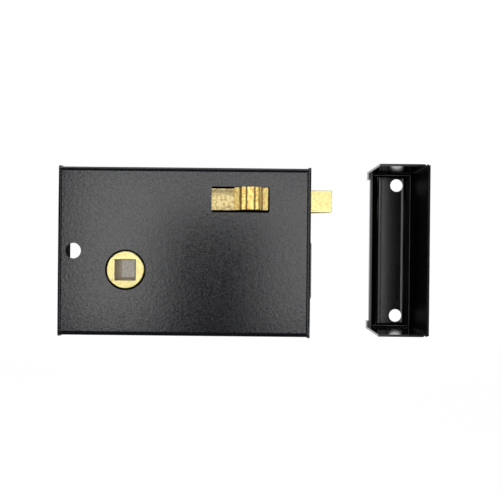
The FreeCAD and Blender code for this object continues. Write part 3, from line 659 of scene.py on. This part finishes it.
@dataclass
class FollowerCasting:
    """The follower, turned on its faces, with the square socket broached through it; its deep faces and
    the socket's rim take painted shade.
    """

    rounding: float = 0.2 * MM
    socket_reach: float = 7.5 * MM
    flat_from: float = 0.9

    def build(self) -> None:
        """Makes the follower from its CAD form."""
        rubbed, painted_shade, socket, rough = range(4)
        piece = softened_copy("follower_casting", "follower", self.rounding)
        finishes = (RUBBED_BRASS.material(), SHADE_BRASS.material(), SOCKET_BRASS.material(),
                    ROUGH_BRASS.material())
        finish_piece(piece, finishes, Body.FOLLOWER, "follower")
        low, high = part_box("follower")
        for face in piece.data.polygons:
            corners = [piece.data.vertices[index].co for index in face.vertices]
            reach = max(math.hypot(corner.x, corner.z) for corner in corners)
            deep = face.center.y > low.y + self.rounding
            # Every face behind the front outside the socket, and the socket's front rim, get painted
            # shade.
            if reach > self.socket_reach:
                face.material_index = painted_shade if deep else rubbed
            else:
                face.material_index = socket if deep else painted_shade
            if face.normal.y > self.flat_from and face.center.y > high.y - self.rounding:
                face.material_index = rough


@dataclass(frozen=True)
class Rib:
    """A rib of the dome, from start to end as shares of its length, and how dull it has gone."""

    start: float
    end: float
    dull: float = 0.0

    def at(self, share: float) -> float:
        """Returns the place along the dome of a share of the rib's width."""
        return self.start + (self.end - self.start) * share


@dataclass
class ThumbPiece:
    """The thumb piece: a base with sloped ends under a dome of broad ribs."""

    rounding: float = 0.12 * MM
    facet_drops: Pair = (0.3 * MM, 0.12 * MM)
    facet_dull: float = 0.2
    shoulder_drop: float = 4.54 * MM
    dome_length: float = 10.2 * MM
    edge_rise: float = 0.25 * MM
    edge_width: float = 0.1 * MM
    edge_dulls: tuple[float, float, float] = (0.3, 0.7, 1.0)
    ribs: tuple[Rib, ...] = (Rib(0.06, 0.285), Rib(0.3, 0.655), Rib(0.68, 0.86), Rib(0.885, 0.965, 0.55))
    rib_height: float = 0.13 * MM
    rib_roundness: float = 0.35
    crown: float = 0.75 * MM
    crown_by_rib: float = 0.6
    groove_narrows: float = 2.5
    steps: int = 12

    def profile(self) -> list[tuple[float, float, float]]:
        """Works out the plan of the piece.

        Returns:
            Points of the outline as along, depth and how deep in a groove each lies (0 to 1).
        """
        low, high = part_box("thumb_slide")
        middle = (low.x + high.x) / 2
        shoulder = low.y + self.shoulder_drop
        dome_left = middle - self.dome_length / 2
        dome_right = middle + self.dome_length / 2
        foot_dull, left_dull, right_dull = self.edge_dulls
        points = [(high.x, high.y, 0.0), (low.x, high.y, 0.0),
                  (low.x, shoulder + self.facet_drops[0], self.facet_dull),
                  (dome_left - self.edge_width, shoulder, foot_dull),
                  (dome_left, shoulder - self.edge_rise, left_dull)]
        for rib in self.ribs:
            centre = (rib.start + rib.end - 1.0) ** 2
            for step in range(self.steps + 1):
                share = step / self.steps
                place = rib.at(share)
                bow = math.sin(math.pi * share)
                fall = self.crown_by_rib * centre + (1.0 - self.crown_by_rib) * (2 * place - 1.0) ** 2
                sunk = self.rib_height * (1 - bow ** self.rib_roundness)
                points.append((dome_left + self.dome_length * place, low.y + self.crown * fall + sunk,
                               max(rib.dull, 1 - bow * self.groove_narrows)))
        points += [(dome_right, shoulder - self.edge_rise, right_dull),
                   (dome_right + self.edge_width, shoulder, foot_dull),
                   (high.x, shoulder + self.facet_drops[1], self.facet_dull)]
        return points

    def build(self) -> None:
        """Raises the plan to the piece's height, rounds it and marks its grooves."""
        sharp_from, smooth_to = 40, 50
        low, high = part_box("thumb_slide")
        mesh = bpy.data.meshes.new("thumb_work")
        with edited(mesh) as work:
            groove = work.verts.layers.float.new("groove")
            bottom = []
            for along, depth, sunk in self.profile():
                vertex = work.verts.new((along, depth, low.z))
                vertex[groove] = sunk
                bottom.append(vertex)
            raised = bmesh.ops.extrude_face_region(work, geom=[work.faces.new(bottom)])
            top = [item for item in raised["geom"] if isinstance(item, bmesh.types.BMVert)]
            bmesh.ops.translate(work, vec=(0, 0, high.z - low.z), verts=top)
            bmesh.ops.recalc_face_normals(work, faces=work.faces)
        rounded = round_edges("thumb_rounded", new_object("thumb_work", mesh), self.rounding, sharp_from)
        piece = even_normals("thumb_piece", rounded, smooth_to)
        finish_piece(piece, (RIBBED_BRASS.material(),), Body.BOLT, "thumb_slide")


class GeometryTree(Tree):
    """A geometry node tree with named inputs, put on an object as a modifier."""

    def __init__(self, name: str, inputs: dict[str, float]) -> None:
        """Starts the tree.

        Args:
            name: the tree's name.
            inputs: the named sizes and their values.
        """
        group = bpy.data.node_groups.new(name, "GeometryNodeTree")
        super().__init__(group)
        group.interface.new_socket("Geometry", in_out="INPUT", socket_type="NodeSocketGeometry")
        group.interface.new_socket("Geometry", in_out="OUTPUT", socket_type="NodeSocketGeometry")
        self.identifiers = {}
        for label in inputs:
            socket = group.interface.new_socket(label, in_out="INPUT", socket_type="NodeSocketFloat")
            self.identifiers[label] = socket.identifier
        self.values = inputs
        self.entry = self.add("NodeGroupInput")

    def size(self, label: str) -> bpy.types.NodeSocket:
        """Returns the named size's socket."""
        return self.entry.outputs[label]

    def end(self, form: bpy.types.Node, finish: bpy.types.Material) -> None:
        """Sets the form on each point, realizes it, welds it, gives it its finish and ends there.

        Args:
            form: the node that makes one copy of the form.
            finish: the finish of them all.
        """
        weld = 0.0005 * MM
        spread = self.add("GeometryNodeInstanceOnPoints", {"Points": self.entry.outputs[0],
                                                           "Instance": form.outputs[0]})
        real = self.add("GeometryNodeRealizeInstances", {0: spread.outputs[0]})
        merged = self.add("GeometryNodeMergeByDistance", {0: real.outputs[0], "Distance": weld})
        dressed = self.add("GeometryNodeSetMaterial", {"Geometry": merged.outputs[0], "Material": finish})
        self.add("NodeGroupOutput", {0: dressed.outputs[0]})

    def make(self, name: str, places: list[Vector]) -> bpy.types.Object:
        """Runs the tree on a mesh of loose points and returns the plain mesh object.

        Args:
            name: the piece's name.
            places: the points that the tree starts from.

        Returns:
            The plain piece.
        """
        mesh = bpy.data.meshes.new(name + "_points")
        mesh.from_pydata([tuple(place) for place in places], [], [])
        holder = new_object(name + "_points", mesh)
        modifier = holder.modifiers.new("form", "NODES")
        modifier.node_group = self.tree
        for label, value in self.values.items():
            modifier[self.identifiers[label]] = value
        piece = plain_mesh(name, holder)
        smooth_by_angle(piece.data)
        return piece


@dataclass(frozen=True)
class Rivet:
    """A rivet's sizes: its head's width and height, and its shank's width and length."""

    head: float
    proud: float
    shank: float
    length: float


@dataclass
class TurnedRivets:
    """A set of like rivets with domed heads, each turned about its own axis."""

    name: str
    node: str
    body: Body
    slot: Slot
    rivet: Rivet
    turn: Point
    ring: int = 28
    steps: int = 9

    def build(self, places: list[Vector], finish: bpy.types.Material) -> None:
        """Makes the set at the given places, which are the middles of the heads' undersides.

        Args:
            places: one point for each rivet.
            finish: the finish of all of them.
        """
        sizes = {"Head radius": self.rivet.head / 2, "Head height": self.rivet.proud,
                 "Shank radius": self.rivet.shank / 2, "Length": self.rivet.length}
        tree = GeometryTree(self.name + "_form", sizes)
        head_radius, head_height, shank_radius, length = map(tree.size, sizes)
        step = tree.add("GeometryNodeInputIndex").outputs[0]
        angle = tree.maths("MULTIPLY", tree.maths("DIVIDE", step, float(self.steps - 1)), math.pi / 2)
        radius = tree.maths("MULTIPLY", head_radius, tree.maths("SINE", angle))
        height = tree.maths("MULTIPLY", head_height, tree.maths("COSINE", angle))
        inwards = tree.maths("SUBTRACT", radius, head_radius)
        spot = tree.add("ShaderNodeCombineXYZ", {"X": inwards, "Y": height}).outputs[0]
        line = tree.add("GeometryNodeMeshLine", {"Count": self.steps}, mode="OFFSET").outputs[0]
        bent = tree.add("GeometryNodeSetPosition", {"Geometry": line, "Position": spot}).outputs[0]
        curve = tree.add("GeometryNodeMeshToCurve", {0: bent}).outputs[0]
        circle = tree.add("GeometryNodeCurvePrimitiveCircle", {"Resolution": self.ring,
                                                               "Radius": head_radius}).outputs[0]
        head = tree.add("GeometryNodeCurveToMesh", {0: circle, 1: curve})
        shank = tree.add("GeometryNodeMeshCylinder", {"Vertices": self.ring, "Radius": shank_radius,
                                                      "Depth": length})
        down = tree.add("ShaderNodeCombineXYZ", {"Z": tree.maths("MULTIPLY", length, -0.5)}).outputs[0]
        lowered = tree.add("GeometryNodeTransform", {0: shank.outputs[0], "Translation": down})
        both = tree.add("GeometryNodeJoinGeometry")
        for part in (head, lowered):
            tree.feed(both, {0: part.outputs[0]})
        turned = tree.add("GeometryNodeTransform", {0: both.outputs[0], "Rotation": Euler(self.turn)})
        tree.end(turned, finish)
        finish_piece(tree.make(self.name, places), (), self.body, self.node)


@dataclass
class BoltSpring:
    """The compression spring behind the bolt's tail, wound from round wire."""

    wire: float = 0.9 * MM
    turns: float = 6.0
    steps_a_turn: int = 40
    ring: int = 12
    throw: float = 9.5 * MM

    def build(self) -> None:
        """Winds the spring between its seats."""
        low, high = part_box("bolt_spring")
        length = high.x - low.x
        sizes = {"Wire": self.wire / 2, "Radius": (high.z - low.z) / 2 - self.wire / 2,
                 "Length": length - self.wire, "Turns": self.turns}
        tree = GeometryTree("spring_form", sizes)
        wire, radius, rise, turns = map(tree.size, sizes)
        path = tree.add("GeometryNodeCurveSpiral", {
            "Resolution": self.steps_a_turn, "Rotations": turns, "Start Radius": radius,
            "End Radius": radius, "Height": rise,
        }).outputs[0]
        section = tree.add("GeometryNodeCurvePrimitiveCircle", {"Resolution": self.ring,
                                                                "Radius": wire}).outputs[0]
        tube = tree.add("GeometryNodeCurveToMesh", {0: path, 1: section, "Fill Caps": True}).outputs[0]
        laid = tree.add("GeometryNodeTransform", {0: tube, "Rotation": Euler((0, math.pi / 2, 0))})
        tree.end(laid, DRAWN_STEEL.material())
        middle = (low + high) / 2
        piece = tree.make("wound_spring", [Vector((low.x + self.wire / 2, middle.y, middle.z))])
        finish_piece(piece, (), Body.CASE, "bolt_spring")
        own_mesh(piece)


@dataclass
class Works:
    """The steel works inside the case, with the cap over them."""

    plated: tuple[str, ...] = ("bolt_guide", "guide_washer", "cap_screws")
    turned: tuple[str, ...] = ("upper_post", "lower_left_post", "lower_right_post", "guide_post",
                               "arm_stop", "spring_spigot")
    room_depth: float = 10 * MM

    def build(self) -> None:
        """Dresses the nodes in plated and drawn steel, and the cap's inner face in a dark steel that
        paints the shade inside the case.
        """
        zinc = ZINC.material()
        drawn = DRAWN_STEEL.material()
        low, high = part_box("back_cap")
        room = Vector(((low.x + high.x) / 2, low.y - self.room_depth, (low.z + high.z) / 2))
        dress_node("back_cap", zinc, CAP_SHADE_STEEL.material(), room)
        for node in self.plated:
            dress_node(node, zinc)
        for node in self.turned:
            dress_node(node, drawn)


@dataclass
class Fixings:
    """The rivets of the forend plate and of the thumb piece."""

    forend: Rivet = Rivet(head=3.8 * MM, proud=0.5 * MM, shank=2.4 * MM, length=1.7 * MM)
    thumb: Rivet = Rivet(head=4.6 * MM, proud=0.8 * MM, shank=2.6 * MM, length=4.2 * MM)

    def build(self) -> None:
        """Makes both pairs of rivets."""
        wire = BRASS_WIRE.material()
        low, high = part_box("forend_rivets")
        half = self.forend.head / 2
        seat, depth = high.x - self.forend.proud, (low.y + high.y) / 2
        places = [Vector((seat, depth, low.z + half)), Vector((seat, depth, high.z - half))]
        rivets = TurnedRivets("forend_rivet_heads", "forend_rivets", Body.CASE, Slot.PAINT, self.forend,
                              (0, math.pi / 2, 0))
        rivets.build(places, SATIN_BLACK.material())
        low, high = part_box("thumb_rivets")
        half = self.thumb.head / 2
        seat, rise = high.y - self.thumb.proud, (low.z + high.z) / 2
        places = [Vector((low.x + half, seat, rise)), Vector((high.x - half, seat, rise))]
        rivets = TurnedRivets("thumb_rivet_heads", "thumb_rivets", Body.BOLT, Slot.BRASS_WIRE, self.thumb,
                              (-math.pi / 2, 0, 0))
        rivets.build(places, wire)


@dataclass(frozen=True)
class Panel:
    """A soft area lamp: its middle, its size in metres, its share of the light and its aim."""

    name: str
    place: Point
    width: float
    height: float
    share: float
    aim: Point = (0.05, 0.0, 0.0)

    def hang(self, level: float) -> None:
        """Hangs the lamp.

        Args:
            level: the brightness that it has a share of, where 1 looks white.
        """
        data = bpy.data.lights.new(self.name, "AREA")
        data.shape = "RECTANGLE"
        data.size = self.width
        data.size_y = self.height
        data.energy = level * self.share * math.pi * self.width * self.height
        lamp = new_object(self.name, data)
        lamp.location = self.place
        way = Vector(self.aim) - Vector(self.place)
        lamp.rotation_euler = way.to_track_quat("-Z", "Y").to_euler()


def front_panel(name: str, left: float, right: float, bottom: float, share: float) -> Panel:
    """Works out a panel of the row that hangs before the case and faces it squarely.

    Args:
        name: the lamp's name.
        left: its left edge, in metres.
        right: its right edge.
        bottom: its lower edge.
        share: its share of the light.

    Returns:
        The panel.
    """
    top, distance = 0.16, 0.75
    along, rise = (left + right) / 2, (bottom + top) / 2
    return Panel(name, (along, -distance, rise), right - left, top - bottom, share, (along, 0.0, rise))


def seen_white(tree: Tree, behind: bpy.types.NodeSocket) -> bpy.types.NodeSocket:
    """Tells how white the surroundings look to a ray.

    Args:
        tree: the surroundings' node tree.
        behind: how far behind the object the place is, 0 to 1.

    Returns:
        The socket of 1 for the camera's own rays, and of behind for mirrored ones.
    """
    path = tree.add("ShaderNodeLightPath").outputs
    mirrored = tree.maths("MAXIMUM", path["Is Glossy Ray"], path["Is Transmission Ray"])
    return tree.maths("MAXIMUM", path["Is Camera Ray"], tree.maths("MULTIPLY", mirrored, behind))


@dataclass
class SocketGround:
    """A glowing disc behind the square socket that paints the ground in shade, with painted shadow darker
    at its edges.
    """

    gap: float = 0.15 * MM
    radius: float = 8.0 * MM
    sides: int = 48
    shade_tone: Colour = linear(170, 165, 156)
    scratched_shade_tone: Colour = linear(138, 131, 122)
    shaded: Colour = linear(70, 60, 50)
    scratch_size: float = 0.9 * MM
    scratch_range: Pair = (0.35, 0.7)
    right_edge: Pair = (0.8 * MM, 1.5 * MM)
    high_edge: Pair = (3.7 * MM, 4.5 * MM)
    edge_shadow_share: float = 0.7

    def material(self) -> bpy.types.Material:
        """Builds the ground's glowing finish of painted shade and shadow, which is clear from behind.

        Returns:
            The node material.
        """
        material, tree, shader = new_material("painted_shade_ground")
        output = shader.outputs[0].links[0].to_node
        place = object_place(tree)
        scratch = tree.spread(tree.noise(place, self.scratch_size, detail=4.0), *self.scratch_range)
        spot = tree.add("ShaderNodeSeparateXYZ", {0: place}).outputs
        # Painted shadow: darker towards the right and towards the upper and lower edges.
        aside = tree.spread(spot["X"], *self.right_edge)
        high = tree.spread(tree.maths("ABSOLUTE", spot["Z"]), *self.high_edge)
        shade = tree.maths("MULTIPLY", tree.maths("MAXIMUM", aside, high), self.edge_shadow_share)
        tone = tree.blend(shade, tree.blend(scratch, self.shade_tone, self.scratched_shade_tone), self.shaded)
        tree.feed(shader, {
            "Base Color": BLACK,
            "Roughness": 1.0,
            "Emission Color": tone,
            "Emission Strength": 1.0,
        })
        back = tree.add("ShaderNodeNewGeometry").outputs["Backfacing"]
        clear = tree.add("ShaderNodeBsdfTransparent").outputs[0]
        either = tree.add("ShaderNodeMixShader", {0: back, 1: shader.outputs[0], 2: clear})
        tree.feed(output, {"Surface": either.outputs[0]})
        return material

    def build(self) -> None:
        """Lays the ground just behind the follower."""
        low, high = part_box("follower")
        middle = Vector(((low.x + high.x) / 2, high.y + self.gap, 0.0))
        upright = Matrix.Translation(middle) @ Matrix.Rotation(math.pi / 2, 4, "X")
        mesh = bpy.data.meshes.new("socket_ground")
        with edited(mesh) as work:
            bmesh.ops.create_circle(work, cap_ends=True, segments=self.sides, radius=self.radius,
                                    matrix=upright)
        ground = new_object("socket_ground", mesh)
        ground.data.materials.append(self.material())


@dataclass
class Stage:
    """The plain white surroundings, the lamps and the camera at the photograph's place."""

    camera_place: Point = (56.0 * MM, -353.0 * MM, 9.5 * MM)
    camera_roll: float = -0.6
    lens: float = 53.3
    sensor: float = 36.0
    clip: float = 10 * MM
    world_level: float = 0.04
    world_sweep: Pair = (0.75, 0.9)
    floor_drop: float = 250.0 * MM
    floor_size: float = 6.0
    floor_grey: float = 0.12
    floor_roughness: float = 0.9
    floor_glow: float = 0.96
    floor_sweep: Pair = (0.10, 0.45)
    floor_brightens: Pair = (0.8, 2.5)
    lamp_level: float = 2.3
    panels: tuple[Panel, ...] = (
        front_panel("panel_left", -0.215, -0.07, -0.122, 1.08),
        front_panel("panel_middle", -0.07, 0.075, 0.06, 1.0),
        front_panel("panel_right", 0.075, 0.27, -0.122, 0.94),
        Panel("strip_left", (-0.437, -0.310, 0.0), 0.05, 0.5, 1.2, (-0.03, -0.02, 0.0)),
        Panel("strip_right", (0.466, -0.341, 0.0), 0.06, 0.5, 1.0, (0.083, -0.02, 0.0)),
        Panel("fill_behind", (-0.55, 0.9, 0.5), 0.8, 0.8, 0.6),
        Panel("top", (0.05, 0.1, 1.0), 0.8, 0.6, 0.5),
        Panel("side_right", (1.2, -0.25, 0.15), 0.7, 0.7, 0.45),
    )

    def camera(self) -> None:
        """Puts the camera where the photograph was taken from."""
        data = bpy.data.cameras.new("camera")
        data.lens = self.lens
        data.sensor_width = self.sensor
        data.clip_start = self.clip
        camera = new_object("camera", data)
        camera.location = self.camera_place
        camera.rotation_euler = (math.radians(90), math.radians(self.camera_roll), 0)
        bpy.context.scene.camera = camera

    def world(self) -> None:
        """Makes a dim room, with a white sweep behind the object for what looks at it."""
        world = bpy.data.worlds.new("white_sweep")
        world.use_nodes = True
        world.node_tree.nodes.clear()
        tree = Tree(world.node_tree)
        way = tree.add("ShaderNodeTexCoord").outputs["Generated"]
        back = tree.add("ShaderNodeSeparateXYZ", {0: way}).outputs["Y"]
        seen = seen_white(tree, tree.spread(back, *self.world_sweep))
        strength = tree.plus(self.world_level, seen, 1.0 - self.world_level)
        sky = tree.add("ShaderNodeBackground", {"Color": WHITE, "Strength": strength})
        tree.add("ShaderNodeOutputWorld", {"Surface": sky.outputs[0]})
        bpy.context.scene.world = world

    def floor(self) -> None:
        """Lays the pale floor below the object, which keeps a soft shadow."""
        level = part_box("case")[0].z - self.floor_drop
        half = self.floor_size / 2
        corners = [(-half, -half, level), (half, -half, level), (half, half, level), (-half, half, level)]
        mesh = bpy.data.meshes.new("floor")
        mesh.from_pydata(corners, [], [(0, 1, 2, 3)])
        floor = new_object("floor", mesh)
        material, tree, shader = new_material("pale_floor")
        back = tree.add("ShaderNodeSeparateXYZ", {0: object_place(tree)}).outputs["Y"]
        seen = seen_white(tree, tree.spread(back, *self.floor_sweep))
        glow = tree.plus(self.floor_glow, tree.spread(back, *self.floor_brightens), 1.0 - self.floor_glow)
        tree.feed(shader, {
            "Base Color": (*[self.floor_grey] * 3, 1.0),
            "Roughness": self.floor_roughness,
            "Emission Color": WHITE,
            "Emission Strength": tree.maths("MULTIPLY", seen, glow),
        })
        floor.data.materials.append(material)

    def build(self) -> None:
        """Sets up everything round the object."""
        self.camera()
        self.world()
        for panel in self.panels:
            panel.hang(self.lamp_level)
        self.floor()
        SocketGround().build()
        bpy.context.scene.view_settings.view_transform = "Standard"


def main() -> None:
    """Builds the surroundings and the dressed object."""
    logging.basicConfig(level=logging.INFO, format="%(name)s: %(message)s")
    for part in (Stage(), PaintedShell(), KeepPressing(), Works(), BoltCasting(), FollowerCasting(),
                 ThumbPiece(), BoltSpring(), Fixings()):
        part.build()


if __name__ == "__main__":
    main()
